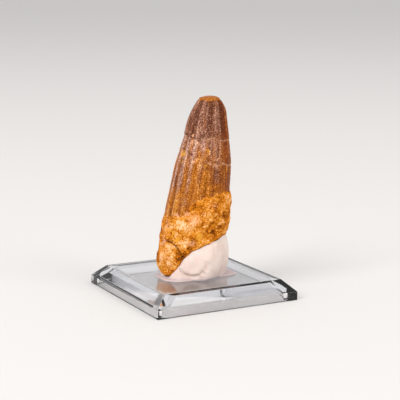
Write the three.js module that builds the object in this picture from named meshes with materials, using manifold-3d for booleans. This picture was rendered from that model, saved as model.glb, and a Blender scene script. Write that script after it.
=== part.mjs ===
// A fossil spinosaur tooth, held upright by a lump of white putty on a clear square display base.
// Millimetres, +Z up. The base stands on z = 0 with its middle on the Z axis.
// The tooth and the putty stand in a group turned about Z. In that group the tooth's broad side
// faces -Y, and angles run anticlockwise from +X, so 270 degrees is the middle of the broad side.
// Heights of the tooth and the putty are measured from the base's top face.

import * as THREE from 'three';
import { ImprovedNoise } from 'three/addons/math/ImprovedNoise.js';
import { mergeVertices } from 'three/addons/utils/BufferGeometryUtils.js';
import Module from 'manifold-3d';

const solids = await Module();
solids.setup();

// Display base
const BASE_SIDE = 50;
const SKIRT_HEIGHT = 2.8;
const BEVEL_HEIGHT = 3.7;
const BEVEL_INSET = 3.9;
const WALL = 1.8;
const CAVITY_CORNER = 4;
const BASE_HEIGHT = SKIRT_HEIGHT + BEVEL_HEIGHT;

// Tooth, each section being its height, left edge, right edge, half depth and middle in depth
const TOOTH_TURN = -28.8;
const SECTIONS = [
  [-2, -10.1, 9.4, 8.0, -2.4],
  [4, -10.5, 9.7, 8.3, -2.5],
  [14, -9.6, 10.8, 8.4, -2.7],
  [20, -8.8, 11.8, 8.3, -2.8],
  [28, -7.2, 12.0, 7.9, -3.0],
  [36, -5.5, 12.3, 7.1, -3.1],
  [44, -3.2, 11.7, 6.0, -3.1],
  [50, -1.8, 10.9, 4.9, -2.9],
  [54.5, 0.2, 10.1, 3.8, -2.7],
  [57, 1.9, 8.6, 2.9, -2.6],
];
const WEAR_HEIGHT = 57;
const WEAR_DOME = 1.05;

// The slanting broken end, as its height at each x
const BREAK = [
  [-12, 4.4],
  [-10.3, 2.2],
  [-8.5, 0.9],
  [-7.6, 0.7],
  [-6.5, 1.3],
  [-4.9, 3.4],
  [-3.4, 5.4],
  [-1.5, 8],
  [-0.5, 8.9],
  [2.6, 10.6],
  [7, 12.4],
  [10, 13.5],
  [13, 13.7],
];
const BREAK_MIDDLE = new THREE.Vector2(-0.2, -2.4);
const BREAK_HOLLOW = 0.6;
const BREAK_ROUGH = 0.25;

// Heights round the tooth, at each angle, of its two cracks and of the edge of its crust
const UPPER_CRACK = [
  [0, 44.4],
  [180, 45.9],
  [212, 46],
  [254, 45],
  [292, 45.3],
  [315, 44.3],
];
const LOWER_CRACK = [
  [0, 36.4],
  [90, 38.6],
  [180, 40.7],
  [225, 41],
  [254, 39.1],
  [283, 37.4],
  [317, 37.2],
];
const CRUST_EDGE = [
  [0, 27.2],
  [45, 26],
  [90, 24.4],
  [135, 21],
  [180, 19.8],
  [240, 20.5],
  [251, 22.4],
  [260, 25],
  [275, 26.3],
  [302, 28],
];

// Relief of the tooth: ridges along it, ledges under the cracks, and its crust
const FLUTES = 17;
const FLUTE_START = 12;
const FLUTE_RISE = 0.2;
const BROAD_FLUTES = 8;
const BROAD_START = 253;
const BROAD_RISE = 0.2;
const UPPER_LEDGE = 0.34;
const LOWER_LEDGE = 0.16;
const LEDGE_REACH = 1.6;
const LEDGE_STEP = 0.25;
const LEFT_SIDE = 195;
const CRUST_RISE = 0.35;
const LUMP_RISE = 0.55;
const LUMP_SCALE = 2.9;
const GRAIN_RISE = 0.3;
const GRAIN_SCALE = 1.3;
const ENAMEL_GRAIN = 0.25;

// Lumps and pits of the crust, each being its angle, height, spread and rise
const LUMPS = [
  [206, 6.5, 4.2, 0.7],
  [271, 14, 1.7, 0.55],
  [260, 17.5, 2.2, 0.4],
  [305, 15, 1.3, -0.6],
  [290, 22.5, 2.6, 0.35],
  [120, 12, 3, 0.6],
  [60, 18, 2.4, 0.5],
];

// The crack that curls round the lump at the tooth's foot
const FOOT_CRACK = { angle: 222, height: 5.5, radius: 6.1, depth: 0.45, width: 0.7 };

// Putty, its foot being the radius at each angle round PUTTY_MIDDLE
const PUTTY_MIDDLE = new THREE.Vector2(0.5, -2);
const PUTTY_FOOT = [
  [0, 9.9],
  [27, 11.4],
  [60, 10.2],
  [90, 9.6],
  [130, 9.8],
  [180, 10.3],
  [203, 10.8],
  [223, 12],
  [258, 9.6],
  [292, 10.2],
  [318, 9.4],
];
const PUTTY_GAP = 0.4;
const PUTTY_INSET = 0.15;
const PUTTY_OVERHANG = 0.6;
const PUTTY_BULGE = 0.5;
const PUTTY_BULGE_RIGHT = 0.7;
const FOLD = { x: 0.6, height: 5.6, radius: 4.45, top: 5.6, depth: 0.5, width: 0.6 };

// The smear of putty that the lump leaves on the base
const SMEAR_THICKNESS = 0.3;
const SMEAR = [
  [-12, -4.4],
  [-10.7, -8.5],
  [-8.6, -12.6],
  [-4.2, -14.2],
  [-1.1, -12.9],
  [9.8, -6.1],
  [12.4, -4.9],
  [14.7, -2.2],
  [12.1, 3.8],
  [2, 5],
  [-8, 2],
];

const COLUMNS = 4 * FLUTES;
const WELD = 1e-4;

const { degToRad, smoothstep } = THREE.MathUtils;
const noise = new ImprovedNoise();

// A smooth curve through points, with one value at each place
function curveThrough(points) {
  const places = points.map((point) => point[0]);
  const values = points.flatMap((point) => point.slice(1));
  return new THREE.CubicInterpolant(places, values, points[0].length - 1);
}

// The same for points given by their angle, closed round the whole turn
function curveRound(points) {
  const [first, last] = [points[0], points[points.length - 1]];
  const around = curveThrough([
    [last[0] - 360, last[1]],
    ...points,
    [first[0] + 360, first[1]],
    [points[1][0] + 360, points[1][1]],
  ]);
  return (degrees) => around.evaluate(THREE.MathUtils.euclideanModulo(degrees, 360))[0];
}

const section = curveThrough(SECTIONS);
const breakCurve = curveThrough(BREAK);
const breakHeight = (x) => breakCurve.evaluate(x)[0];
const upperCrack = curveRound(UPPER_CRACK);
const lowerCrack = curveRound(LOWER_CRACK);
const crustEdge = curveRound(CRUST_EDGE);
const puttyFoot = curveRound(PUTTY_FOOT);

// Smooth noise whose lumps are about as wide as the scale
const noiseAt = (x, y, z, scale) => noise.noise(x / scale, y / scale, z / scale);

// A bell that is 1 at a distance of zero and fades over the width
const bell = (distance, width) => Math.exp(-((distance / width) ** 2));

// A closed mesh with only positions, its doubled vertices welded
function welded(geometry) {
  const bare = new THREE.BufferGeometry();
  bare.setAttribute('position', geometry.getAttribute('position'));
  bare.setIndex(geometry.getIndex());
  const mesh = mergeVertices(bare, WELD);
  mesh.computeVertexNormals();
  return mesh;
}

function toSolid(geometry) {
  const mesh = welded(geometry);
  const vertProperties = Float32Array.from(mesh.getAttribute('position').array);
  const triVerts = Uint32Array.from(mesh.getIndex().array);
  return new solids.Manifold(new solids.Mesh({ numProp: 3, vertProperties, triVerts }));
}

function toGeometry(solid) {
  const mesh = solid.getMesh();
  const geometry = new THREE.BufferGeometry();
  geometry.setAttribute('position', new THREE.BufferAttribute(mesh.vertProperties, mesh.numProp));
  geometry.setIndex(new THREE.BufferAttribute(mesh.triVerts, 1));
  geometry.computeVertexNormals();
  return geometry;
}

// A closed skin from columns of points that all run from one top point to one bottom point
function skin(columns) {
  const rows = columns[0].length - 1;
  const geometry = new THREE.SphereGeometry(1, columns.length, rows);
  const position = geometry.getAttribute('position');
  for (let row = 0; row <= rows; row += 1) {
    for (let turn = 0; turn <= columns.length; turn += 1) {
      const point = columns[turn % columns.length][row];
      position.setXYZ(row * (columns.length + 1) + turn, point.x, point.y, point.z);
    }
  }
  return welded(geometry);
}

// A square solid with rounded upright edges, from levels of height and half side
function squareTower(levels, corner, steps) {
  const profile = levels.map(([height, half]) => new THREE.Vector2(half, height));
  profile.unshift(new THREE.Vector2(0, levels[0][0]));
  profile.push(new THREE.Vector2(0, levels[levels.length - 1][0]));
  const geometry = new THREE.LatheGeometry(profile, 4 * steps);
  const position = geometry.getAttribute('position');
  for (let turn = 0; turn <= 4 * steps; turn += 1) {
    const quarter = Math.floor(turn / steps) % 4;
    const along = steps > 1 ? (turn % steps) / (steps - 1) : 0;
    const angle = ((quarter + along) * Math.PI) / 2;
    const across = quarter === 0 || quarter === 3 ? 1 : -1;
    const aside = quarter < 2 ? 1 : -1;
    profile.forEach((point, level) => {
      const middle = Math.max(point.x - corner, 0);
      const radius = point.x > 0 ? corner : 0;
      const x = across * middle + radius * Math.cos(angle);
      const y = aside * middle + radius * Math.sin(angle);
      position.setXYZ(turn * profile.length + level, x, y, point.y);
    });
  }
  return geometry;
}

function displayBase() {
  const half = BASE_SIDE / 2;
  const outside = squareTower(
    [
      [0, half],
      [SKIRT_HEIGHT, half],
      [BASE_HEIGHT, half - BEVEL_INSET],
    ],
    0,
    1,
  );
  const inside = squareTower(
    [
      [-WALL, half - WALL],
      [SKIRT_HEIGHT - WALL / 6, half - WALL],
      [BASE_HEIGHT - WALL, half - BEVEL_INSET - WALL],
    ],
    CAVITY_CORNER,
    7,
  );
  return toGeometry(toSolid(outside).subtract(toSolid(inside)));
}

// How far the tooth's surface stands out from its smooth form
function toothRelief(degrees, height, x, y) {
  const belowUpper = upperCrack(degrees) - height;
  const belowLower = lowerCrack(degrees) - height;
  const belowCrust = crustEdge(degrees) - height;
  const enamel = 1 - smoothstep(belowCrust, -0.6, 0.1);
  const crust = smoothstep(belowCrust, 0, 0.5);
  const leftness = 0.3 + 0.7 * Math.max(0, Math.cos(degToRad(degrees - LEFT_SIDE)));
  const flutes = Math.cos(degToRad(FLUTES * (degrees - FLUTE_START)));
  const broad = Math.cos(degToRad(BROAD_FLUTES * (degrees - BROAD_START)));
  let rise = FLUTE_RISE * flutes * leftness * enamel;
  rise += BROAD_RISE * broad * smoothstep(height, 40, 50);
  if (belowUpper > 0) {
    rise -= UPPER_LEDGE * leftness * Math.exp(-belowUpper / LEDGE_REACH);
  }
  if (belowLower > 0) {
    rise -= LOWER_LEDGE * leftness * Math.exp(-belowLower / LEDGE_REACH);
  }
  rise += crust * CRUST_RISE;
  rise += crust * LUMP_RISE * noiseAt(x, y, height, LUMP_SCALE);
  const grain = THREE.MathUtils.lerp(ENAMEL_GRAIN, 1, crust);
  rise += grain * GRAIN_RISE * noiseAt(x, y, height, GRAIN_SCALE);
  for (const [angle, middle, spread, lump] of LUMPS) {
    rise += lump * bell(surfaceDistance(degrees, height, angle, middle), spread);
  }
  const fromFoot = surfaceDistance(degrees, height, FOOT_CRACK.angle, FOOT_CRACK.height);
  const round = smoothstep(degrees % 360, 212, 218) * (1 - smoothstep(degrees % 360, 254, 262));
  const upper = smoothstep(height, FOOT_CRACK.height, FOOT_CRACK.height + 1);
  rise -= FOOT_CRACK.depth * bell(fromFoot - FOOT_CRACK.radius, FOOT_CRACK.width) * round * upper;
  return rise;
}

// Distance over the tooth's lower part between two places given by angle and height
function surfaceDistance(degrees, height, otherDegrees, otherHeight) {
  const turned = THREE.MathUtils.euclideanModulo(degrees - otherDegrees + 180, 360) - 180;
  return Math.hypot(degToRad(turned) * 10, height - otherHeight);
}

// A point of the tooth's side, or inside it where the share of its width is under 1
function toothPoint(degrees, height, share = 1, level = height) {
  const [left, right, halfDepth, middle] = section.evaluate(level);
  const middleX = (left + right) / 2;
  const halfWidth = (right - left) / 2;
  const cosine = Math.cos(degToRad(degrees));
  const sine = Math.sin(degToRad(degrees));
  const rise = toothRelief(
    degrees,
    level,
    middleX + halfWidth * cosine,
    middle + halfDepth * sine,
  );
  const x = middleX + share * (halfWidth + rise) * cosine;
  const y = middle + share * (halfDepth + rise) * sine;
  return new THREE.Vector3(x, y, height);
}

// The height at which the tooth's side meets its broken end
function breakEdge(degrees) {
  let height = breakHeight(0);
  for (let pass = 0; pass < 12; pass += 1) {
    height = (height + breakHeight(toothPoint(degrees, height).x)) / 2;
  }
  return toothPoint(degrees, height);
}

function toothColumn(degrees) {
  const points = [];
  for (const lean of [0, 28, 52, 74]) {
    const height = WEAR_HEIGHT + WEAR_DOME * Math.cos(degToRad(lean));
    points.push(toothPoint(degrees, height, Math.sin(degToRad(lean)), WEAR_HEIGHT));
  }
  const edge = breakEdge(degrees);
  const bands = [
    [WEAR_HEIGHT, upperCrack(degrees), 9],
    [upperCrack(degrees) - LEDGE_STEP, lowerCrack(degrees), 5],
    [lowerCrack(degrees) - LEDGE_STEP, crustEdge(degrees) + LEDGE_STEP, 9],
    [crustEdge(degrees) - LEDGE_STEP, edge.z, 15],
  ];
  for (const [top, bottom, steps] of bands) {
    for (let step = 0; step <= steps; step += 1) {
      points.push(toothPoint(degrees, THREE.MathUtils.lerp(top, bottom, step / steps)));
    }
  }
  for (const share of [0.92, 0.72, 0.48, 0.24, 0]) {
    const x = THREE.MathUtils.lerp(BREAK_MIDDLE.x, edge.x, share);
    const y = THREE.MathUtils.lerp(BREAK_MIDDLE.y, edge.y, share);
    const rough = Math.abs(noise.noise(x / LUMP_SCALE, y / LUMP_SCALE, 0.5));
    const hollow = BREAK_HOLLOW * (1 - share ** 2) + BREAK_ROUGH * rough;
    points.push(new THREE.Vector3(x, y, breakHeight(x) + hollow));
  }
  return points;
}

// The fold pressed into the front of the putty
function foldDepth(x, y, height) {
  const distance = Math.hypot(x - FOLD.x, height - FOLD.height) - FOLD.radius;
  const front = smoothstep(-y, 7, 9) * (1 - smoothstep(height, FOLD.top - 0.5, FOLD.top + 0.5));
  return FOLD.depth * front * bell(distance, FOLD.width);
}

function puttyColumn(degrees) {
  const edge = breakEdge(degrees);
  const outward = new THREE.Vector2(edge.x, edge.y).sub(PUTTY_MIDDLE);
  const edgeRadius = outward.length();
  outward.normalize();
  const foot = puttyFoot(THREE.MathUtils.radToDeg(outward.angle()));
  const rim = Math.min(edgeRadius - PUTTY_INSET, foot + PUTTY_OVERHANG);
  const place = (radius, height) => {
    const x = PUTTY_MIDDLE.x + radius * outward.x;
    const y = PUTTY_MIDDLE.y + radius * outward.y;
    return new THREE.Vector3(x, y, height ?? breakHeight(x) - PUTTY_GAP);
  };
  const points = [0, 0.3, 0.58, 0.83, 1].map((share) => place(share * rim));
  const top = points[points.length - 1].z;
  const bulge = PUTTY_BULGE + PUTTY_BULGE_RIGHT * Math.max(0, outward.x);
  for (const drop of [0.06, 0.16, 0.28, 0.4, 0.52, 0.64, 0.76, 0.88, 1]) {
    const height = top * (1 - drop);
    const swell = bulge * Math.sin(Math.PI * drop) ** 0.7 * Math.min(1, top / 5);
    const point = place(THREE.MathUtils.lerp(rim, foot, drop) + swell, height);
    point.y += foldDepth(point.x, point.y, height);
    points.push(point);
  }
  points.push(new THREE.Vector3(PUTTY_MIDDLE.x, PUTTY_MIDDLE.y, 0));
  return points;
}

// One column of points at each angle, evenly round the tooth
function columnsRound(columnAt) {
  return Array.from({ length: COLUMNS }, (_, k) => columnAt(FLUTE_START + (360 * k) / COLUMNS));
}

function mountingPutty() {
  const lump = toSolid(skin(columnsRound(puttyColumn)));
  const outline = new THREE.Shape(SMEAR.map(([x, y]) => new THREE.Vector2(x, y)));
  const smear = new THREE.ExtrudeGeometry(outline, { depth: SMEAR_THICKNESS, bevelEnabled: false });
  return toGeometry(lump.add(toSolid(mergeVertices(smear))));
}

function named(name, geometry, material) {
  const mesh = new THREE.Mesh(geometry, new THREE.MeshStandardMaterial(material));
  mesh.name = name;
  return mesh;
}

const specimen = new THREE.Group();
specimen.position.z = BASE_HEIGHT;
specimen.rotation.z = degToRad(TOOTH_TURN);
specimen.add(
  named('tooth', skin(columnsRound(toothColumn)), {
    color: '#b06c35',
    roughness: 0.5,
    metalness: 0,
    flatShading: true,
  }),
  named('mounting_putty', mountingPutty(), {
    color: '#eedbd3',
    roughness: 0.75,
    metalness: 0,
    flatShading: true,
  }),
);

const specimenOnBase = new THREE.Group();
specimenOnBase.add(
  named('display_base', displayBase(), {
    color: '#e6ebf2',
    roughness: 0.05,
    metalness: 0,
    transparent: true,
    opacity: 0.35,
    flatShading: true,
  }),
  specimen,
);

export default specimenOnBase;
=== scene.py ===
# A fossil spinosaur tooth, held upright by white putty on a clear moulded display base.
# Metres, +Z up. The base stands on z = 0 with its middle on the Z axis.

import math

import bmesh
import bpy
import numpy as np
from mathutils import Matrix, Vector, noise


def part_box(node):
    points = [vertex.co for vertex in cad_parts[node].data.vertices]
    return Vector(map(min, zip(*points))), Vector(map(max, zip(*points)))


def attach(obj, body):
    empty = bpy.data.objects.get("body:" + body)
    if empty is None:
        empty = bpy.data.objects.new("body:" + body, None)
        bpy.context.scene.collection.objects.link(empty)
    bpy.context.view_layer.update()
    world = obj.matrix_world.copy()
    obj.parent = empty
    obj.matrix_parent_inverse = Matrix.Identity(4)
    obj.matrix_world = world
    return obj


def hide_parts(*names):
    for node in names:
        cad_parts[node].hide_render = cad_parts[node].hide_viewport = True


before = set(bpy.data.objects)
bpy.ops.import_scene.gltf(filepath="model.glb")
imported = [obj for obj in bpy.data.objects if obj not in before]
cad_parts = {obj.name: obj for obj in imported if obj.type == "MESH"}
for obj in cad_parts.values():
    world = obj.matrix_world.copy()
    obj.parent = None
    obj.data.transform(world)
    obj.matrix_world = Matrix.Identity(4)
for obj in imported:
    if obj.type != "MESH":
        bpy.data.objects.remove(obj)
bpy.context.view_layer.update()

MM = 0.001

# The tooth's broad side faces -Y of a frame that is turned by this angle about Z. Places on the
# tooth are an angle round it in degrees, 270 in the middle of the broad side, and a height in mm
# above the base's top face
TOOTH_TURN = math.radians(-28.8)
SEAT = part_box("display_base")[1].z / MM

# Camera, fitted to the corners of the base in the photograph: its place, lens and film in mm, its
# angles in degrees, and the nearest and farthest places that it sees, in metres
CAMERA_PLACE = (-175.44, -324.05, 99.35)
CAMERA_AZIMUTH = -28.82
CAMERA_ELEVATION = 10.59
CAMERA_ROLL = 0.49
CAMERA_LENS = 104.3
CAMERA_FILM = 36
CAMERA_NEAREST = 0.01
CAMERA_FARTHEST = 50

# Soft lights round the tooth, each a name, an azimuth from the camera's side and an elevation in
# degrees, a distance and a size in metres, and its watts
LIGHTS = (
    ("key", -42, 36, 1.6, 0.7, 12.5),
    ("fill", 58, 28, 1.8, 0.9, 9.0),
    ("top", 10, 78, 1.8, 0.9, 3.0),
)
LIT_PLACE = Vector((0, 0, 0.03))
SURROUND_STRENGTH = 0.8
FLOOR_RADIUS = 12

# Display base, in mm. The hollow's walls are upright nearly as far as the skirt
SKIRT_HEIGHT = 2.8
BEVEL_INSET = 3.9
WALL = 1.8
CAVITY_UPRIGHT = SKIRT_HEIGHT - WALL / 6
CAVITY_CORNER = 4.0
CORNER_STRIPS = 8
EDGE_RADIUS = 0.18
EDGE_STRIPS = 3
# Degrees: under the hollow's slope at its corners, 23, and over the turn between two strips there, 11
EDGE_ANGLE = 18
# Two places in the base are the same when they are as near as this, in mm
SAME_PLACE = 0.01

# Corners of a CAD mesh that are as near as this are one, in metres
MERGE_DISTANCE = 1e-6

# Fineness of the two remade pieces in mm, and how often each is smoothed
TOOTH_GRID = 0.21
TOOTH_SMOOTHING = 6
PUTTY_GRID = 0.16
PUTTY_SMOOTHING = 8

# The tooth's mean radius in mm, which turns an angle into a distance round it. Its sections are
# whole between the first two heights, and the sides fitted to them serve between the other two
TOOTH_RADIUS = 10
WHOLE_SECTIONS = (16, 55)
FITTED_HEIGHTS = (4, 56)

# Angles of the left edge, of the side where dust fills the cracks, of the side turned away to the
# right, and of the rim where that side ends. A stretch between two angles fades over SOFT_END
# degrees to either side of each
LEFT_EDGE = 212
DUSTY_SIDE = 315
FAR_SIDE = 5
FAR_RIM = 20
SOFT_END = 6

# The two cracks across the crown, as heights at each angle
UPPER_CRACK = (
    (0, 44.3), (90, 45.2), (180, 45.9), (210, 46.0), (224, 45.5), (241, 45.1), (254, 45.0),
    (272, 44.9), (292, 45.3), (312, 44.3), (347, 44.2),
)
LOWER_CRACK = (
    (0, 36.4), (90, 38.6), (180, 42.2), (212, 41.6), (226, 41.0), (244, 39.7), (254, 38.9),
    (271, 38.6), (283, 37.4), (297, 36.7), (317, 37.1), (343, 36.0),
)

# Widths and heights of the jags in their lines, in mm, and how many times as high the lower's are
JAGS = ((1.1, 0.3), (0.45, 0.2))
LOWER_JAGS = 1.6

# How far each of them gapes all round, and how much more between two angles
UPPER_GAPE = 0.25
UPPER_GAPES_MORE = ((200, 256, 0.75), (0, 190, 0.6))
LOWER_GAPE = 0.1
LOWER_GAPES_MORE = ((176, 247, 0.9), (0, 164, 0.6))

# The crack that curls round the lump at the tooth's foot, and the angles that it keeps between
FOOT_CRACK_ENDS = (214, 261)
FOOT_CRACK = (
    (212, 12.2), (219, 11.9), (228, 11.8), (236, 11.0), (241, 10.0), (246, 9.1), (250, 7.8),
    (256, 7.3), (262, 6.6),
)

# The groove between two ridges of the left edge. Its width is in degrees, and in distances from it
# 1 mm of height counts as three of them
GROOVE_WIDTH = 2.0
GROOVE_RISE = 3
LONG_GROOVE = ((224, 44.0), (222, 40.0), (221, 35.0), (219, 30.0), (215, 24.0), (212, 20.5))

# The upper edge of the crust
CRUST_EDGE = (
    (0, 27.2), (45, 26.0), (90, 24.4), (135, 21.0), (180, 19.8), (203, 19.8), (217, 19.9),
    (232, 20.2), (243, 20.7), (251, 22.4), (255, 23.7), (260, 25.0), (270, 26.0), (280, 26.6),
    (294, 26.9), (302, 28.0), (322, 28.0),
)

# Faces turned down near the broken end, below this height, are darkened as painted shade
SHADED_RIM_HEIGHT = 14

# How far up from the crust the enamel is stained, in mm at each angle
STAIN_REACH = ((0, 3), (90, 8), (180, 14), (215, 10), (245, 11), (285, 11), (300, 4), (330, 2.5))

# Widths and depths of the tooth's relief, in mm
RIDGE_WIDTH = 0.75
RIDGE_DEPTH = 0.07
FIBRE_WIDTH = 0.42
FIBRE_DEPTH = 0.045
CRACK_WIDTH = 0.22
CRACK_DEPTH = 0.22
DUST_DEPTH = 0.08
FOOT_CRACK_WIDTH = 0.36
CRUST_RISE = 0.16
LUMP_WIDTH = 2.1
LUMP_RISE = 0.3
GRANULE_WIDTH = 0.65
GRANULE_RISE = 0.11
CRUMB_WIDTH = 0.5
CRUMB_RISE = 0.07
GRANULE_SLOPE = 1.6
PIT_SPACING = 1.6
PIT_DEPTH = 0.28
DARK_DEPTH = 0.2

# Worn tip: where it starts, and its own relief, in mm
WEAR_HEIGHT = 56.7
WEAR_DEPTH = 0.08
WEAR_LUMP_WIDTH = 1.1
WEAR_LUMP_RISE = 0.12
WEAR_CRUMB_RISE = 0.09

# Heights are squeezed to these shares in the patterns that are drawn out along the tooth
RIDGE_SQUEEZE = 0.09
FIBRE_SQUEEZE = 0.22
STAIN_SQUEEZE = 0.3

# The noise moves the outlines of patches by this much, in mm across, in degrees and in mm of height
RAGGED_WIDTH = 1.3
RAGGED_TURN = 8
RAGGED_RISE = 0.9

# A shift of its places, in mm, makes one noise into several that are not alike
TURN_SHIFT = 3
RISE_SHIFT = 11
DUST_SHIFT = 7
PIT_SHIFT = 31

# Broad light and dark bands along the upper crown, and the finer ones of the left edge
BROAD_RIDGES = 8
BROAD_START = 253
FINE_RIDGES = 17
FINE_START = 12

# Heights between which the broad bands begin, the fine ones end, the pale stretch between the
# cracks begins and the tip darkens, and the middle and spread of the stained belt at the lower crack
BROAD_BEGINS = (42, 48)
FINE_ENDS = (42, 50)
PALE_BEGINS = (34, 40)
TIP_DARKENS = (43, 51)
BELT_MIDDLE = 39.5
BELT_SPREAD = 3.2

# Patches on the tooth, each an angle, a height, a width and a height in mm, and a strength
PALE_PATCHES = (
    (256, 16.7, 2.4, 2.0, 0.85), (246, 18.2, 1.6, 1.2, 0.8), (263, 18.4, 1.6, 1.2, 0.7),
    (231, 9.5, 1.2, 2.0, 1.0), (222, 10.5, 1.2, 1.4, 1.0), (226, 5.5, 1.1, 2.2, 1.0),
    (210, 6.5, 1.4, 3.0, 0.8), (321, 18.4, 1.2, 1.0, 0.8), (222, 17.2, 1.2, 1.2, 0.8),
    (254, 12.1, 1.3, 1.2, 1.0), (236, 14.6, 1.0, 0.8, 0.9), (272, 16.4, 1.0, 1.0, 0.6),
    (290, 17.6, 1.2, 0.9, 0.6), (120, 14.0, 3.0, 4.0, 0.5), (60, 20.0, 3.0, 3.0, 0.4),
)
PINK_PATCHES = (
    (265, 19.7, 2.6, 2.2, 1.0), (253, 21.3, 1.8, 1.4, 0.9), (266, 11.9, 1.8, 1.6, 0.9),
    (296, 24.4, 2.6, 2.2, 0.6), (284, 21.8, 2.4, 1.6, 0.7), (210, 17.0, 1.4, 3.6, 0.9),
    (207, 12.0, 1.4, 2.2, 1.0), (232, 20.6, 1.6, 0.9, 1.0), (243, 20.4, 1.6, 0.8, 0.7),
    (219, 8.0, 0.9, 2.4, 0.9), (234, 43.7, 1.1, 1.2, 0.9), (234, 45.9, 1.0, 0.6, 1.2),
    (295, 39.2, 1.4, 1.0, 0.6), (30, 15.0, 3.0, 3.0, 0.8), (140, 22.0, 2.0, 3.0, 0.7),
    (208, 6.5, 1.6, 3.4, 0.9), (200, 14.5, 1.4, 3.6, 0.8), (269, 41.9, 0.6, 0.5, 1.3),
    (282, 40.9, 0.5, 0.7, 1.2), (302, 38.7, 1.0, 0.5, 1.2), (255, 38.5, 0.4, 0.9, 1.3),
    (247, 38.0, 0.6, 0.6, 1.3), (254, 43.3, 0.4, 1.2, 1.1),
)
YELLOW_PATCHES = (
    (278, 14.2, 1.6, 1.6, 1.2), (242, 13.3, 1.5, 1.2, 1.0), (229, 15.0, 1.4, 1.6, 0.9),
    (214, 3.7, 1.2, 1.6, 0.8), (280, 12.0, 1.6, 1.0, 0.8), (215, 15.9, 1.2, 1.4, 0.6),
    (214, 40.1, 2.4, 1.8, 1.1), (218, 37.8, 0.9, 1.3, 1.0), (277, 36.0, 0.8, 1.8, 0.8),
    (280, 34.4, 0.6, 1.4, 0.7), (278, 33.0, 0.8, 1.2, 0.8), (328, 35.0, 0.9, 1.8, 0.9),
    (265, 38.8, 2.6, 0.7, 0.8), (278, 41.0, 1.2, 1.2, 0.8), (255, 38.4, 0.9, 0.9, 0.8),
    (150, 36.0, 1.4, 4.0, 0.8), (90, 18.0, 3.0, 3.0, 0.7),
)
# Dark patches. Those low on the foot, between 244 and 255 degrees, are painted shadow where the tooth meets
# the putty
DARK_AND_SHADOW_PATCHES = (
    (305, 15.5, 1.7, 0.9, 1.0), (315, 16.6, 1.4, 0.8, 0.6), (249, 6.2, 1.4, 1.6, 0.5),
    (244, 2.0, 0.9, 1.2, 1.0), (250, 3.6, 0.7, 1.2, 1.0), (255, 5.4, 0.8, 1.2, 1.0),
    (258, 18.8, 1.0, 1.0, 0.5), (246, 15.6, 1.0, 0.8, 0.6), (256, 9.0, 1.6, 1.6, 0.4),
    (100, 10.0, 2.0, 2.0, 0.6),
)
# Ochre stains in the enamel
STAINS = (
    (262, 33.0, 5.0, 6.5, 1.0), (281, 33.0, 3.0, 5.5, 0.9), (188, 30.0, 2.6, 14.0, 0.8),
    (328, 34.0, 1.6, 4.0, 0.9), (311, 32.0, 3.0, 7.0, 0.45), (80, 34.0, 4.0, 6.0, 0.8),
    (140, 40.0, 3.0, 6.0, 0.6),
)

# How far the putty's upper face is raised, over the gap that the solids keep, in mm
PUTTY_LIFT = 0.45

# Widths and depths of the putty's uneven skin, of a fold's crease and of the swelling above it, in mm
PUTTY_DENTS = ((5.0, 0.2), (1.8, 0.07), (0.6, 0.02))
CREASE_WIDTH = 0.4
CREASE_DEPTH = 0.34
SWELL_WIDTH = 0.9
SWELL_RISE = 0.3

# The fold in the front of the putty, as places across and above the base's top, in mm. It lies
# farther to the front than the first two distances, and fades out to the right between the others
FOLD_FRONT = (6, 8)
FOLD_FADES = (0, 5)
PUTTY_FOLD = ((-4.6, 5.0), (-3.4, 2.9), (-1.8, 1.9), (0.1, 1.4), (2.3, 1.8), (3.8, 3.0), (4.8, 4.6))

# Two shallower folds at its back, and the hollows that fingers left there. Folds are angles round
# the putty's middle and heights, and hollows each an angle, a height, a width and a depth
PUTTY_MIDDLE = (0.5, -2.0)
PUTTY_RADIUS = 10
BACK_FOLD_SHARE = 0.8
BACK_FOLDS = (
    ((22, 4.6), (32, 3.0), (46, 2.2), (66, 2.0), (86, 2.9), (98, 4.4)),
    ((112, 1.5), (126, 2.1), (146, 2.2), (164, 3.4), (172, 4.9)),
)
FINGER_MARKS = (
    (32, 8.3, 2.4, 0.42), (62, 6.0, 2.8, 0.5), (92, 7.2, 2.5, 0.45), (128, 4.6, 2.4, 0.4),
)

# The rim that a finger raises: its distance and width as shares of the hollow's width, its height as
# a share of the depth, and by how much a hollow is wider than high
MARK_RIM_PLACE = 1.35
MARK_RIM_WIDTH = 0.5
MARK_RIM_RISE = 0.35
MARK_SQUATNESS = 1.15

# Widths of the grain and the blotches in the materials, in mm. The enamel's real grain is finer
# than it is drawn here, so that it shows
ENAMEL_GRAIN = 0.37
CRUST_GRAIN = 0.55
CRUST_BLOTCH = 3.3
GOLDEN_BLOTCH = 1.6
PUTTY_BLOTCH = 3.8
PUTTY_GRAIN = 0.53
SCUFF_WIDTH = 2.4

# Heights of the bumps that stand for the finest grain, in metres
ENAMEL_BUMP = 0.00012
PUTTY_BUMP = 0.0001


def linear(hex_colour):
    """A colour of eight-bit sRGB hex, as the linear colour that shaders take."""
    parts = [int(hex_colour[k:k + 2], 16) / 255 for k in (1, 3, 5)]
    return [p / 12.92 if p < 0.04045 else ((p + 0.055) / 1.055) ** 2.4 for p in parts] + [1.0]


def add(tree, kind, settings=None, links=None):
    """Adds a node. A setting or link names an input by its name or its number."""
    node = tree.nodes.new(kind)
    for name, value in (settings or {}).items():
        if isinstance(name, int) or name in node.inputs:
            node.inputs[name].default_value = value
        else:
            setattr(node, name, value)
    for name, source in (links or {}).items():
        tree.links.new(source, node.inputs[name])
    return node


def set_stops(node, stops):
    """Sets a colour ramp's stops, each a place and a colour."""
    elements = node.color_ramp.elements
    while len(elements) < len(stops):
        elements.new(0.5)
    for element, (position, colour) in zip(elements, stops):
        element.position = position
        element.color = linear(colour)


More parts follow.
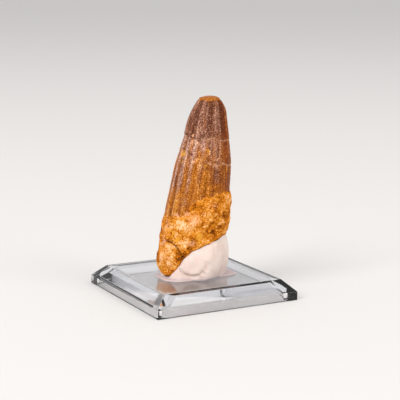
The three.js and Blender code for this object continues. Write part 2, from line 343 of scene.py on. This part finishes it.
def weighed(tree, middle, parts):
    """A sum of sources, each about 0.5 on average and given a weight, around that middle."""
    total = None
    start = middle - 0.5 * sum(weight for _, weight in parts)
    for source, weight in parts:
        settings = {"operation": "MULTIPLY_ADD", 1: weight, 2: start}
        links = {0: source} if total is None else {0: source, 2: total}
        total = add(tree, "ShaderNodeMath", settings, links).outputs[0]
    return total


def per_metre(width):
    """The scale of a pattern whose lumps are that wide, in mm."""
    return 1 / (width * MM)


def new_material(name):
    material = bpy.data.materials.new(name)
    material.use_nodes = True
    tree = material.node_tree
    return material, tree, tree.nodes["Principled BSDF"]


def fine_copy(name, node, grid, smoothing):
    """A merged copy of a CAD node, remade as an even mesh of that grid in mm."""
    bm = bmesh.new()
    bm.from_mesh(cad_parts[node].data)
    bmesh.ops.remove_doubles(bm, verts=bm.verts, dist=MERGE_DISTANCE)
    mesh = bpy.data.meshes.new(name)
    bm.to_mesh(mesh)
    bm.free()
    piece = bpy.data.objects.new(name, mesh)
    bpy.context.scene.collection.objects.link(piece)
    remesh = piece.modifiers.new("Remesh", "REMESH")
    remesh.mode = "VOXEL"
    remesh.voxel_size = grid * MM
    smooth = piece.modifiers.new("Smooth", "SMOOTH")
    smooth.factor = 0.5
    smooth.iterations = smoothing
    bpy.context.view_layer.update()
    evaluated = piece.evaluated_get(bpy.context.evaluated_depsgraph_get())
    remade = bpy.data.meshes.new_from_object(evaluated)
    piece.modifiers.clear()
    piece.data = remade
    remade.name = name
    for polygon in remade.polygons:
        polygon.use_smooth = True
    return piece


def vertex_rows(mesh):
    """The places of a mesh's vertices, one row each, in mm."""
    rows = np.empty(len(mesh.vertices) * 3)
    mesh.vertices.foreach_get("co", rows)
    return rows.reshape(-1, 3) / MM


def normal_rows(mesh):
    rows = np.empty(len(mesh.vertices) * 3)
    mesh.vertex_normals.foreach_get("vector", rows)
    return rows.reshape(-1, 3)


def set_rows(mesh, rows):
    mesh.vertices.foreach_set("co", (rows * MM).ravel())
    mesh.update()


def keep_attribute(mesh, name, values):
    attribute = mesh.attributes.new(name, "FLOAT", "POINT")
    attribute.data.foreach_set("value", np.asarray(values, dtype=np.float32))


def keep_vector(mesh, name, rows):
    attribute = mesh.attributes.new(name, "FLOAT_VECTOR", "POINT")
    attribute.data.foreach_set("vector", np.asarray(rows, dtype=np.float32).ravel())


def noise_at(rows, size):
    """Smooth noise from -1 to 1, its lumps about as wide as the size in mm."""
    return np.array([noise.noise(row) for row in (rows / size).tolist()])


def grains_at(rows, size):
    """Rounded grains about as wide as the size: 1 in the middle of a grain, 0 between two."""
    near = np.array([noise.voronoi(row)[0][:2] for row in (rows / size).tolist()])
    return np.clip((near[:, 1] - near[:, 0]) * GRANULE_SLOPE, 0, 1)


def ramp(values, low, high):
    """A smooth step from 0 at low to 1 at high."""
    share = np.clip((values - low) / (high - low), 0, 1)
    return share * share * (3 - 2 * share)


def bell(distance, width):
    return np.exp(-((distance / width) ** 2))


def span(degrees, first, last):
    """1 between two angles, with soft ends."""
    rise = ramp(degrees, first - SOFT_END, first + SOFT_END)
    return rise * (1 - ramp(degrees, last - SOFT_END, last + SOFT_END))


def wave(degrees, start, count=1):
    """A wave round the tooth that many times, 1 at the starting angle and from there down to -1."""
    return np.cos(np.radians(count * (degrees - start)))


def height_round(line, degrees):
    """The height of a line round the tooth, at each angle."""
    angles, heights = zip(*line)
    return np.interp(degrees, angles, heights, period=360)


def from_line(across, up, line):
    """The distance of each place, across and up, from a line of straight stretches."""
    places = np.column_stack([across, up])
    nearest = np.full(len(places), np.inf)
    for first, last in zip(line, line[1:]):
        start = np.array(first, dtype=float)
        step = np.array(last) - start
        share = np.clip(((places - start) @ step) / (step @ step), 0, 1)
        away = places - start - share[:, None] * step
        nearest = np.minimum(nearest, np.hypot(away[:, 0], away[:, 1]))
    return nearest


def patches(marks, degrees, height):
    """How strongly each place is in one of the patches, from 0 to about 1."""
    total = np.zeros(len(degrees))
    for angle, level, width, tall, strength in marks:
        turned = (degrees - angle + 180) % 360 - 180
        aside = np.radians(turned) * TOOTH_RADIUS / width
        total = np.maximum(total, strength * bell(np.hypot(aside, (height - level) / tall), 1.0))
    return total


def to_tooth_frame(rows):
    cosine, sine = math.cos(TOOTH_TURN), math.sin(TOOTH_TURN)
    x = rows[:, 0] * cosine + rows[:, 1] * sine
    y = rows[:, 1] * cosine - rows[:, 0] * sine
    return np.column_stack([x, y, rows[:, 2] - SEAT])


def round_the_tooth(local):
    """The angle of each vertex round the tooth, from the ellipse of its sections."""
    levels = np.arange(*WHOLE_SECTIONS, 1.0)
    sizes = []
    for level in levels:
        band = local[np.abs(local[:, 2] - level) < 0.5]
        sizes.append([*band[:, :2].min(0), *band[:, :2].max(0)])
    fits = [np.polyfit(levels, column, 3) for column in np.array(sizes).T]
    height = np.clip(local[:, 2], *FITTED_HEIGHTS)
    left, front, right, back = (np.polyval(fit, height) for fit in fits)
    across = (local[:, 0] - (left + right) / 2) / ((right - left) / 2)
    along = (local[:, 1] - (front + back) / 2) / ((back - front) / 2)
    return np.degrees(np.arctan2(along, across)) % 360


def gaping(degrees, everywhere, more):
    """How far a crack gapes at each angle."""
    total = everywhere
    for first, last, share in more:
        total = total + share * span(degrees, first, last)
    return total


def tooth_cracks(grown, degrees, height, enamel):
    """The cracks, narrow and jagged: how far they gape, how dusty they are where closed, and where
    both come and go."""
    jagged = sum(tall * noise_at(grown, width) for width, tall in JAGS)
    upper = bell(height - height_round(UPPER_CRACK, degrees) + jagged, CRACK_WIDTH)
    lower = bell(height - height_round(LOWER_CRACK, degrees) + LOWER_JAGS * jagged, CRACK_WIDTH)
    patchy = ramp(noise_at(grown + DUST_SHIFT, 1.6), -0.25, 0.25)
    upper_open = gaping(degrees, UPPER_GAPE, UPPER_GAPES_MORE)
    lower_open = gaping(degrees, LOWER_GAPE, LOWER_GAPES_MORE)
    cracks = np.maximum(upper_open * upper, lower_open * lower) * (0.35 + 0.65 * patchy)
    filled = ramp(wave(degrees, DUSTY_SIDE), 0.35, 0.75) * np.maximum(upper, lower)

    # Round the lump at the foot
    foot_angles, foot_heights = zip(*FOOT_CRACK)
    foot = height - np.interp(degrees, foot_angles, foot_heights) + 0.6 * jagged
    foot = span(degrees, *FOOT_CRACK_ENDS) * bell(foot, FOOT_CRACK_WIDTH) * (0.75 + 0.25 * patchy)
    cracks = np.maximum(cracks, foot)

    # Between two ridges of the left edge
    line = [(angle, GROOVE_RISE * level) for angle, level in LONG_GROOVE]
    groove = from_line(degrees + GROOVE_RISE * jagged, GROOVE_RISE * height, line)
    cracks = np.maximum(cracks, 0.5 * bell(groove, GROOVE_WIDTH) * (0.4 + 0.6 * patchy) * enamel)
    return cracks, filled, patchy


def tooth_piece():
    piece = fine_copy("tooth_surface", "tooth", TOOTH_GRID, TOOTH_SMOOTHING)
    mesh = piece.data
    rows = vertex_rows(mesh)
    local = to_tooth_frame(rows)
    degrees = round_the_tooth(local)
    height = local[:, 2]

    # Places on a round post, where patterns that are drawn out along the tooth keep their width
    grown = np.column_stack([
        TOOTH_RADIUS * np.cos(np.radians(degrees)), TOOTH_RADIUS * np.sin(np.radians(degrees)), height,
    ])
    along = grown * (1, 1, RIDGE_SQUEEZE)
    wander = noise_at(grown, 1.7)

    # Where each place falls among the patches, pushed about so that their outlines are ragged
    blot = (
        degrees + RAGGED_TURN * noise_at(grown + TURN_SHIFT, RAGGED_WIDTH),
        height + RAGGED_RISE * noise_at(grown + RISE_SHIFT, RAGGED_WIDTH),
    )
    dark_and_shadow = patches(DARK_AND_SHADOW_PATCHES, *blot)
    pink = patches(PINK_PATCHES, *blot)

    # Where the surface is enamel, crust or worn tip
    over = height - height_round(CRUST_EDGE, degrees)
    crust = 1 - ramp(over + 0.9 * wander + 0.6 * noise_at(grown, 0.7), -0.12, 0.12)
    worn = ramp(height + 0.25 * wander, WEAR_HEIGHT - 0.15, WEAR_HEIGHT + 0.15)
    enamel = (1 - crust) * (1 - worn)

    # Fine lengthwise ridges and the fibres between them
    ridges = noise_at(along, RIDGE_WIDTH)
    fibres = noise_at(grown * (1, 1, FIBRE_SQUEEZE), FIBRE_WIDTH)
    relief = enamel * (RIDGE_DEPTH * ridges + FIBRE_DEPTH * fibres)

    cracks, filled, patchy = tooth_cracks(grown, degrees, height, enamel)
    relief -= CRACK_DEPTH * cracks * (1 - 0.4 * crust) + DUST_DEPTH * filled

    # The granular crust, standing a little proud, with pits
    granules = grains_at(rows, GRANULE_WIDTH)
    lumps = noise_at(rows, LUMP_WIDTH)
    crumbs = noise_at(rows, CRUMB_WIDTH)
    rise = CRUST_RISE + LUMP_RISE * lumps + GRANULE_RISE * (granules - 0.5) + CRUMB_RISE * crumbs
    relief += crust * rise
    pits = ramp(noise_at(rows + PIT_SHIFT, PIT_SPACING), 0.42, 0.62) * crust * (1 - np.minimum(pink, 1))
    relief -= PIT_DEPTH * pits + DARK_DEPTH * dark_and_shadow * crust

    # The worn tip, a little sunk and pitted
    wear_lumps = noise_at(rows, WEAR_LUMP_WIDTH)
    relief += worn * (WEAR_CRUMB_RISE * crumbs + WEAR_LUMP_RISE * wear_lumps - WEAR_DEPTH)

    # Painted shade on the faces turned down under the broken end's rim, carried on with the cracks
    normals = normal_rows(mesh)
    underside_shade = 0.8 * ramp(-normals[:, 2] + 0.15 * wander, 0.45, 0.8) * (height < SHADED_RIM_HEIGHT)
    cracks = np.maximum(cracks, underside_shade)

    # The stretch between the cracks is rubbed paler. The ridges, the broad bands of the upper crown and the
    # left edge are paler partly in their own tone and partly as painted highlight
    above_crack = ramp(height - height_round(UPPER_CRACK, degrees), -0.4, 0.2)
    between = ramp(height, *PALE_BEGINS) * (1 - above_crack)
    broad = wave(degrees, BROAD_START, BROAD_RIDGES) * ramp(height, *BROAD_BEGINS)
    fine = wave(degrees, FINE_START, FINE_RIDGES) * (1 - ramp(height, *FINE_ENDS))
    left = np.maximum(0, wave(degrees, LEFT_EDGE)) ** 2
    bands_and_highlights = 0.35 * broad + (0.1 + 0.42 * left) * fine + 0.2 * wander
    bands_and_highlights += 0.1 * left * (1 - ramp(over, 3, 12))
    bands_and_highlights += 0.22 * between - 0.16 * above_crack - 0.22 * ramp(height, *TIP_DARKENS) + 0.3 * left

    # The side turned away to the right, except its rim, is stained ochre and darkened, partly in its own
    # red-brown and partly as painted shade
    away = ramp(wave(degrees, FAR_SIDE) + 0.12 * noise_at(along, 2.2), 0.42, 0.8)
    rim = ramp(wave(degrees, FAR_RIM), 0.55, 0.85)

    # Stained ochre near the crust, in places above it, about the lower crack and on the side turned away
    reach = height_round(STAIN_REACH, degrees)
    stain = np.maximum(1 - ramp(over / reach, 0.5, 1.4), patches(STAINS, *blot))
    stain += 0.5 * noise_at(grown * (1, 1, STAIN_SQUEEZE), 1.6) + 0.3 * noise_at(grown, 0.8)
    stain += 0.4 * bell(height - BELT_MIDDLE, BELT_SPREAD) * (1 - left)
    stain += 0.8 * away - 0.55 * left * fine * ramp(over, 4, 12)

    set_rows(mesh, rows + normals * relief[:, None])
    for name, values in (
        ("crust", crust),
        ("worn", worn),
        # The cracks, with the painted shade under the broken end's rim
        ("crack", np.clip(cracks, 0, 1)),
        ("filled", 0.8 * filled * (0.3 + 0.7 * patchy)),
        # Low places of the relief, where the crust is darkened as painted shade
        ("low", np.clip(0.5 - relief / 0.5, 0, 1)),
        ("pale", patches(PALE_PATCHES, *blot)),
        ("pink", pink),
        ("yellow", patches(YELLOW_PATCHES, *blot)),
        ("dark_and_shadow", dark_and_shadow),
        ("side", away * (1 - 0.7 * rim)),
        # Paler tone and painted highlight of the ridges and the left edge
        ("ridge_tone_and_highlight", np.clip(0.5 + 0.5 * bands_and_highlights, 0, 1)),
        ("stain", np.clip(stain, 0, 1)),
    ):
        keep_attribute(mesh, name, values)
    keep_vector(mesh, "grown", grown)
    mesh.materials.clear()
    mesh.materials.append(fossil_tooth())
    return piece


def enamel_colour(tree, grown, mask, speck_and_glint):
    """Sound enamel is mauve-brown and stained enamel ochre, with its ridges paler, partly as painted
    highlight, and its grain's light specks painted glints.
    """
    streak_place = add(tree, "ShaderNodeMapping", {"Scale": (1.0, 1.0, 0.08)}, {"Vector": grown})
    streaks = add(
        tree, "ShaderNodeTexNoise",
        {"Scale": 0.9, "Detail": 4.0, "Roughness": 0.62},
        {"Vector": streak_place.outputs[0]},
    )
    blotches = add(
        tree, "ShaderNodeTexNoise", {"Scale": 0.3, "Detail": 4.0, "Roughness": 0.65}, {"Vector": grown},
    )
    tone = weighed(tree, 0.39, (
        (speck_and_glint, 2.1), (streaks.outputs["Fac"], 1.3), (blotches.outputs["Fac"], 0.7), (mask["ridge_tone_and_highlight"], 0.7),
    ))
    mauve = add(tree, "ShaderNodeValToRGB", {}, {"Fac": tone})
    set_stops(mauve, (
        (0.0, "#4a210d"), (0.25, "#6f3d25"), (0.45, "#8d5d46"), (0.65, "#b07f6a"), (0.85, "#d09f88"),
        (1.0, "#ecc0a6"),
    ))
    ochre = add(tree, "ShaderNodeValToRGB", {}, {"Fac": tone})
    set_stops(ochre, (
        (0.0, "#5e2b02"), (0.25, "#904a05"), (0.45, "#a95e0e"), (0.65, "#bf711c"), (0.85, "#db953e"),
        (1.0, "#f0b86c"),
    ))
    enamel = add(
        tree, "ShaderNodeMix", {"data_type": "RGBA"},
        {0: mask["stain"], 6: mauve.outputs["Color"], 7: ochre.outputs["Color"]},
    )

    # The side turned away from the broad face is a deeper red-brown, partly its own colour and partly
    # painted shade
    return add(
        tree, "ShaderNodeMix", {"data_type": "RGBA", "blend_type": "MULTIPLY", 7: linear("#b48a30")},
        {0: mask["side"], 6: enamel.outputs[2]},
    )


def crust_colour(tree, place, mask, grains):
    """Ochre to orange grains, dark between them and golden or pale where mineral has settled, with painted
    shade in the low places of the relief.
    """
    settled = add(
        tree, "ShaderNodeTexNoise",
        {"Scale": per_metre(CRUST_BLOTCH), "Detail": 3.0, "Roughness": 0.6},
        {"Vector": place},
    )
    tone = weighed(tree, 0.4, (
        (grains, 2.6), (settled.outputs["Fac"], 1.3), (mask["pale"], 0.6), (mask["dark_and_shadow"], -0.45),
        (mask["low"], -0.4),
    ))
    crust = add(tree, "ShaderNodeValToRGB", {}, {"Fac": tone})
    set_stops(crust, (
        (0.0, "#6b3303"), (0.18, "#a25504"), (0.38, "#c8720c"), (0.52, "#d7841b"), (0.66, "#e5983a"),
        (0.80, "#f2af6a"), (1.0, "#ffcda0"),
    ))
    golden = add(
        tree, "ShaderNodeTexNoise",
        {"Scale": per_metre(GOLDEN_BLOTCH), "Detail": 3.0, "Roughness": 0.6},
        {"Vector": place},
    )
    golden_share = add(
        tree, "ShaderNodeMapRange", {"From Min": 0.5, "From Max": 0.66, "To Max": 0.55},
        {"Value": golden.outputs["Fac"]},
    )
    return add(
        tree, "ShaderNodeMix", {"data_type": "RGBA", "blend_type": "MULTIPLY", 7: linear("#fbf098")},
        {0: golden_share.outputs[0], 6: crust.outputs["Color"]},
    )


def fossil_tooth():
    """Fossil tooth: weathered enamel with a soft gloss, under a dull granular iron-stained crust."""
    material, tree, shader = new_material("fossil_enamel_and_crust")
    grown = add(tree, "ShaderNodeAttribute", {"attribute_name": "grown"}).outputs["Vector"]
    place = add(tree, "ShaderNodeTexCoord").outputs["Object"]
    mask = {
        name: add(tree, "ShaderNodeAttribute", {"attribute_name": name}).outputs["Fac"]
        for name in (
            "crust", "worn", "crack", "filled", "low", "pale", "pink", "yellow", "dark_and_shadow", "side", "ridge_tone_and_highlight",
            "stain",
        )
    }
    # The enamel's grain, its light specks partly painted glints
    speck_and_glint = add(
        tree, "ShaderNodeTexNoise",
        {"Scale": per_metre(ENAMEL_GRAIN), "Detail": 2.0, "Roughness": 0.6},
        {"Vector": place},
    ).outputs["Fac"]
    grains = add(
        tree, "ShaderNodeTexNoise",
        {"Scale": per_metre(CRUST_GRAIN), "Detail": 4.0, "Roughness": 0.75},
        {"Vector": place},
    ).outputs["Fac"]
    enamel = enamel_colour(tree, grown, mask, speck_and_glint)
    crust = crust_colour(tree, place, mask, grains)
    skin = add(
        tree, "ShaderNodeMix", {"data_type": "RGBA"},
        {0: mask["crust"], 6: enamel.outputs[2], 7: crust.outputs[2]},
    )

    # Pinkish clay and yellow mineral in patches, broken up by the grain
    for name, colour in (("pink", "#f6b588"), ("yellow", "#efa838")):
        broken = weighed(tree, 0.0, ((grains, 1.6), (mask[name], 0.9)))
        share = add(
            tree, "ShaderNodeMapRange", {"From Min": 0.0, "From Max": 0.5, "To Max": 0.75},
            {"Value": broken},
        )
        skin = add(
            tree, "ShaderNodeMix", {"data_type": "RGBA", 7: linear(colour)},
            {0: share.outputs[0], 6: skin.outputs[2]},
        )

    # The worn tip shows orange dentine
    dentine = add(tree, "ShaderNodeValToRGB", {}, {"Fac": grains})
    set_stops(dentine, ((0.35, "#84470c"), (0.5, "#a95f16"), (0.65, "#cd8330")))
    skin = add(
        tree, "ShaderNodeMix", {"data_type": "RGBA"},
        {0: mask["worn"], 6: skin.outputs[2], 7: dentine.outputs["Color"]},
    )

    # The cracks are dark where they gape, and hold pale dust where they have closed. The same dark is
    # painted shade on the faces turned down under the broken end
    crack_share = add(tree, "ShaderNodeMath", {"operation": "MULTIPLY", 1: 0.85}, {0: mask["crack"]})
    skin = add(
        tree, "ShaderNodeMix", {"data_type": "RGBA", 7: linear("#35190a")},
        {0: crack_share.outputs[0], 6: skin.outputs[2]},
    )
    skin = add(
        tree, "ShaderNodeMix", {"data_type": "RGBA", 7: linear("#d69f78")},
        {0: mask["filled"], 6: skin.outputs[2]},
    )
    tree.links.new(skin.outputs[2], shader.inputs["Base Color"])

    # Enamel keeps a soft gloss, and the crust has none
    enamel_rough = add(
        tree, "ShaderNodeMapRange", {"From Min": 0.3, "From Max": 0.7, "To Min": 0.55, "To Max": 0.3},
        {"Value": speck_and_glint},
    )
    rough = add(
        tree, "ShaderNodeMix", {"data_type": "FLOAT", 3: 0.9},
        {0: mask["crust"], 2: enamel_rough.outputs[0]},
    )
    tree.links.new(rough.outputs[0], shader.inputs["Roughness"])
    shader.inputs["IOR"].default_value = 1.5
    shader.inputs["Specular IOR Level"].default_value = 0.15

    # The same grain, too fine for the mesh
    bump = add(
        tree, "ShaderNodeBump", {"Strength": 0.8, "Distance": ENAMEL_BUMP}, {"Height": speck_and_glint},
    )
    tree.links.new(bump.outputs[0], shader.inputs["Normal"])
    return material


def fold_depth(across, up, line):
    """The depth of a fold along a line: a crease with the swollen putty above it."""
    away = from_line(across, up, line)
    above = ramp(up - np.interp(across, *zip(*line)), 0, 0.5)
    swelling = above * bell(away - SWELL_WIDTH, SWELL_WIDTH)
    return CREASE_DEPTH * bell(away, CREASE_WIDTH) - SWELL_RISE * swelling


def putty_piece():
    piece = fine_copy("putty_lump", "mounting_putty", PUTTY_GRID, PUTTY_SMOOTHING)
    mesh = piece.data
    rows = vertex_rows(mesh)
    normals = normal_rows(mesh)
    local = to_tooth_frame(rows)

    # Pressed up against the broken end, so that no gap shows
    rows[:, 2] += PUTTY_LIFT * ramp(normals[:, 2], 0.35, 0.8) * ramp(local[:, 2], 0.5, 1.2)

    # An uneven skin, and a fold in the front that fades out to the right
    dents = sum(depth * noise_at(rows, width) for width, depth in PUTTY_DENTS)
    front = ramp(-normals[:, 1], 0.2, 0.6) * ramp(-local[:, 1], *FOLD_FRONT)
    front *= 1 - ramp(local[:, 0], *FOLD_FADES)
    dents -= front * fold_depth(local[:, 0], local[:, 2], PUTTY_FOLD)

    # Folds and the marks of fingers at the back, on the upright side alone
    middle_x, middle_y = PUTTY_MIDDLE
    around = np.arctan2(local[:, 1] - middle_y, local[:, 0] - middle_x) % math.tau * PUTTY_RADIUS
    upright = 1 - ramp(np.abs(normals[:, 2]), 0.5, 0.9)
    for line in BACK_FOLDS:
        turned = [(math.radians(angle) * PUTTY_RADIUS, level) for angle, level in line]
        dents -= BACK_FOLD_SHARE * upright * fold_depth(around, local[:, 2], turned)
    for angle, level, width, depth in FINGER_MARKS:
        aside = around - math.radians(angle) * PUTTY_RADIUS
        away = np.hypot(aside, MARK_SQUATNESS * (local[:, 2] - level))
        rim = bell(away - MARK_RIM_PLACE * width, MARK_RIM_WIDTH * width)
        dents -= depth * upright * (bell(away, width) - MARK_RIM_RISE * rim)

    # Nothing is dented on the flat underside
    free = ramp(local[:, 2], 0.05, 0.5)
    set_rows(mesh, rows + normals * (free * dents)[:, None])
    keep_attribute(mesh, "film", 1 - ramp(local[:, 2], 0.35, 0.9))
    mesh.materials.clear()
    mesh.materials.append(kneaded_putty())
    return piece


def kneaded_putty():
    """White mounting putty, kneaded and pressed by hand: matt, a little waxy, faintly pink."""
    material, tree, shader = new_material("kneaded_white_putty")
    place = add(tree, "ShaderNodeTexCoord").outputs["Object"]
    mottle = add(
        tree, "ShaderNodeTexNoise",
        {"Scale": per_metre(PUTTY_BLOTCH), "Detail": 4.0, "Roughness": 0.6},
        {"Vector": place},
    )
    tone = add(tree, "ShaderNodeValToRGB", {}, {"Fac": mottle.outputs["Fac"]})
    set_stops(tone, ((0.3, "#e0c8bc"), (0.55, "#ead5ca"), (0.75, "#f0dfd6")))

    # The thin film smeared over the base is greyer
    film = add(tree, "ShaderNodeAttribute", {"attribute_name": "film"}).outputs["Fac"]
    tone = add(
        tree, "ShaderNodeMix", {"data_type": "RGBA", "blend_type": "MULTIPLY", 7: linear("#e0e1ec")},
        {0: film, 6: tone.outputs["Color"]},
    )
    tree.links.new(tone.outputs[2], shader.inputs["Base Color"])
    shader.inputs["Roughness"].default_value = 0.62
    shader.inputs["IOR"].default_value = 1.45
    shader.inputs["Subsurface Weight"].default_value = 0.25
    shader.inputs["Subsurface Radius"].default_value = (1.0, 0.7, 0.55)
    shader.inputs["Subsurface Scale"].default_value = 0.0012
    fine = add(
        tree, "ShaderNodeTexNoise",
        {"Scale": per_metre(PUTTY_GRAIN), "Detail": 3.0, "Roughness": 0.55},
        {"Vector": place},
    )
    bump = add(
        tree, "ShaderNodeBump", {"Strength": 0.25, "Distance": PUTTY_BUMP}, {"Height": fine.outputs["Fac"]},
    )
    tree.links.new(bump.outputs[0], shader.inputs["Normal"])
    return material


def middle_height(face):
    return face.calc_center_median().z


def raise_face(bm, face, rise, share):
    """Extrudes a face upwards and scales it about the Z axis."""
    out = bmesh.ops.extrude_face_region(bm, geom=[face])
    raised = [item for item in out["geom"] if isinstance(item, bmesh.types.BMVert)]
    bmesh.ops.translate(bm, vec=(0, 0, rise), verts=raised)
    bmesh.ops.scale(bm, vec=(share, share, 1), verts=raised)
    if face.is_valid:
        bmesh.ops.delete(bm, geom=[face], context="FACES_ONLY")


def base_piece():
    """The moulded base: a square plate with sloped edges, hollow below."""
    low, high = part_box("display_base")
    side = (high.x - low.x) / MM
    bm = bmesh.new()
    block = Matrix.Translation((0, 0, SKIRT_HEIGHT / 2)) @ Matrix.Diagonal((side, side, SKIRT_HEIGHT, 1))
    bmesh.ops.create_cube(bm, size=1, matrix=block)

    # The sloped edges rise to the smaller top face
    bm.faces.ensure_lookup_table()
    top = max(bm.faces, key=middle_height)
    raise_face(bm, top, SEAT - SKIRT_HEIGHT, 1 - 2 * BEVEL_INSET / side)

    # The hollow is sunk into the underside, inside its rim
    underside = min(bm.faces, key=middle_height)
    bmesh.ops.inset_region(bm, faces=[underside], thickness=WALL, use_even_offset=True)
    inside_rim = min(
        (face for face in bm.faces if abs(face.normal.z) > 0.9),
        key=lambda face: (round(middle_height(face), 4), face.calc_center_median().length),
    )
    raise_face(bm, inside_rim, CAVITY_UPRIGHT, 1)

    # Its upright corners are rounded
    reach = side / 2 - WALL
    upright = [
        edge for edge in bm.edges
        if abs(edge.verts[0].co.z - edge.verts[1].co.z) > SAME_PLACE
        and all(abs(abs(place) - reach) < SAME_PLACE for end in edge.verts for place in end.co.xy)
    ]
    bmesh.ops.bevel(
        bm, geom=upright, offset=CAVITY_CORNER, segments=CORNER_STRIPS, profile=0.5, affect="EDGES",
        material=-1,
    )
    bmesh.ops.remove_doubles(bm, verts=bm.verts, dist=SAME_PLACE)

    # Its ceiling slopes in like the outside
    ceiling = max((face for face in bm.faces if face.normal.z < -0.9), key=middle_height)
    raise_face(bm, ceiling, SEAT - WALL - CAVITY_UPRIGHT, (reach - BEVEL_INSET) / reach)

    bmesh.ops.scale(bm, vec=(MM, MM, MM), verts=bm.verts)
    bmesh.ops.recalc_face_normals(bm, faces=bm.faces)
    mesh = bpy.data.meshes.new("base_moulding")
    bm.to_mesh(mesh)
    bm.free()
    for polygon in mesh.polygons:
        polygon.use_smooth = True
    piece = bpy.data.objects.new("base_moulding", mesh)
    bpy.context.scene.collection.objects.link(piece)
    edges = piece.modifiers.new("Edges", "BEVEL")
    edges.width = EDGE_RADIUS * MM
    edges.segments = EDGE_STRIPS
    edges.limit_method = "ANGLE"
    edges.angle_limit = math.radians(EDGE_ANGLE)
    edges.harden_normals = True
    mesh.materials.append(clear_polystyrene())
    return piece


def clear_polystyrene():
    """Clear injection-moulded polystyrene: bright and polished, with faint handling scuffs."""
    material, tree, shader = new_material("clear_moulded_polystyrene")
    place = add(tree, "ShaderNodeTexCoord").outputs["Object"]
    shader.inputs["Base Color"].default_value = linear("#fcfcfe")
    shader.inputs["Transmission Weight"].default_value = 1.0
    shader.inputs["IOR"].default_value = 1.5
    scuffs = add(
        tree, "ShaderNodeTexNoise",
        {"Scale": per_metre(SCUFF_WIDTH), "Detail": 5.0, "Roughness": 0.75},
        {"Vector": place},
    )
    rough = add(
        tree, "ShaderNodeMapRange",
        {"From Min": 0.55, "From Max": 0.8, "To Min": 0.012, "To Max": 0.09},
        {"Value": scuffs.outputs["Fac"]},
    )
    tree.links.new(rough.outputs[0], shader.inputs["Roughness"])
    return material


def pale_floor():
    """A matt pale sweep of paper, wide enough that no edge shows."""
    bm = bmesh.new()
    bmesh.ops.create_circle(bm, cap_ends=True, radius=FLOOR_RADIUS, segments=64)
    mesh = bpy.data.meshes.new("floor")
    bm.to_mesh(mesh)
    bm.free()
    material, _, shader = new_material("matt_pale_paper")
    shader.inputs["Base Color"].default_value = linear("#e6e3df")
    shader.inputs["Roughness"].default_value = 0.85
    mesh.materials.append(material)
    floor = bpy.data.objects.new("floor", mesh)
    bpy.context.scene.collection.objects.link(floor)


def soft_light(name, azimuth, elevation, distance, size, watts):
    """An area light that faces the tooth from that direction, azimuth 0 being the camera's side."""
    turn = math.radians(CAMERA_AZIMUTH + azimuth)
    lift = math.radians(elevation)
    away = Vector((
        math.sin(turn) * math.cos(lift), -math.cos(turn) * math.cos(lift), math.sin(lift),
    ))
    light = bpy.data.lights.new(name, "AREA")
    light.shape = "SQUARE"
    light.size = size
    light.energy = watts
    lamp = bpy.data.objects.new(name, light)
    lamp.location = LIT_PLACE + away * distance
    lamp.rotation_euler = away.to_track_quat("Z", "Y").to_euler()
    bpy.context.scene.collection.objects.link(lamp)


def studio():
    world = bpy.data.worlds.new("studio")
    world.use_nodes = True
    surround = world.node_tree.nodes["Background"]
    surround.inputs["Color"].default_value = linear("#f2f2f4")
    surround.inputs["Strength"].default_value = SURROUND_STRENGTH
    bpy.context.scene.world = world
    for light in LIGHTS:
        soft_light(*light)
    bpy.context.scene.view_settings.view_transform = "Standard"


def camera():
    lens = bpy.data.cameras.new("camera")
    lens.lens = CAMERA_LENS
    lens.sensor_width = CAMERA_FILM
    lens.clip_start = CAMERA_NEAREST
    lens.clip_end = CAMERA_FARTHEST
    viewer = bpy.data.objects.new("camera", lens)
    bpy.context.scene.collection.objects.link(viewer)
    turn = Matrix.Rotation(math.radians(CAMERA_AZIMUTH), 4, "Z")
    tilt = Matrix.Rotation(math.radians(90 - CAMERA_ELEVATION), 4, "X")
    roll = Matrix.Rotation(math.radians(CAMERA_ROLL), 4, "Z")
    place = Matrix.Translation(Vector(CAMERA_PLACE) * MM)
    viewer.matrix_world = place @ turn @ tilt @ roll
    bpy.context.scene.camera = viewer


camera()
studio()
pale_floor()

for piece, node in (
    (tooth_piece(), "tooth"),
    (putty_piece(), "mounting_putty"),
    (base_piece(), "display_base"),
):
    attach(piece, "root")
    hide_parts(node)
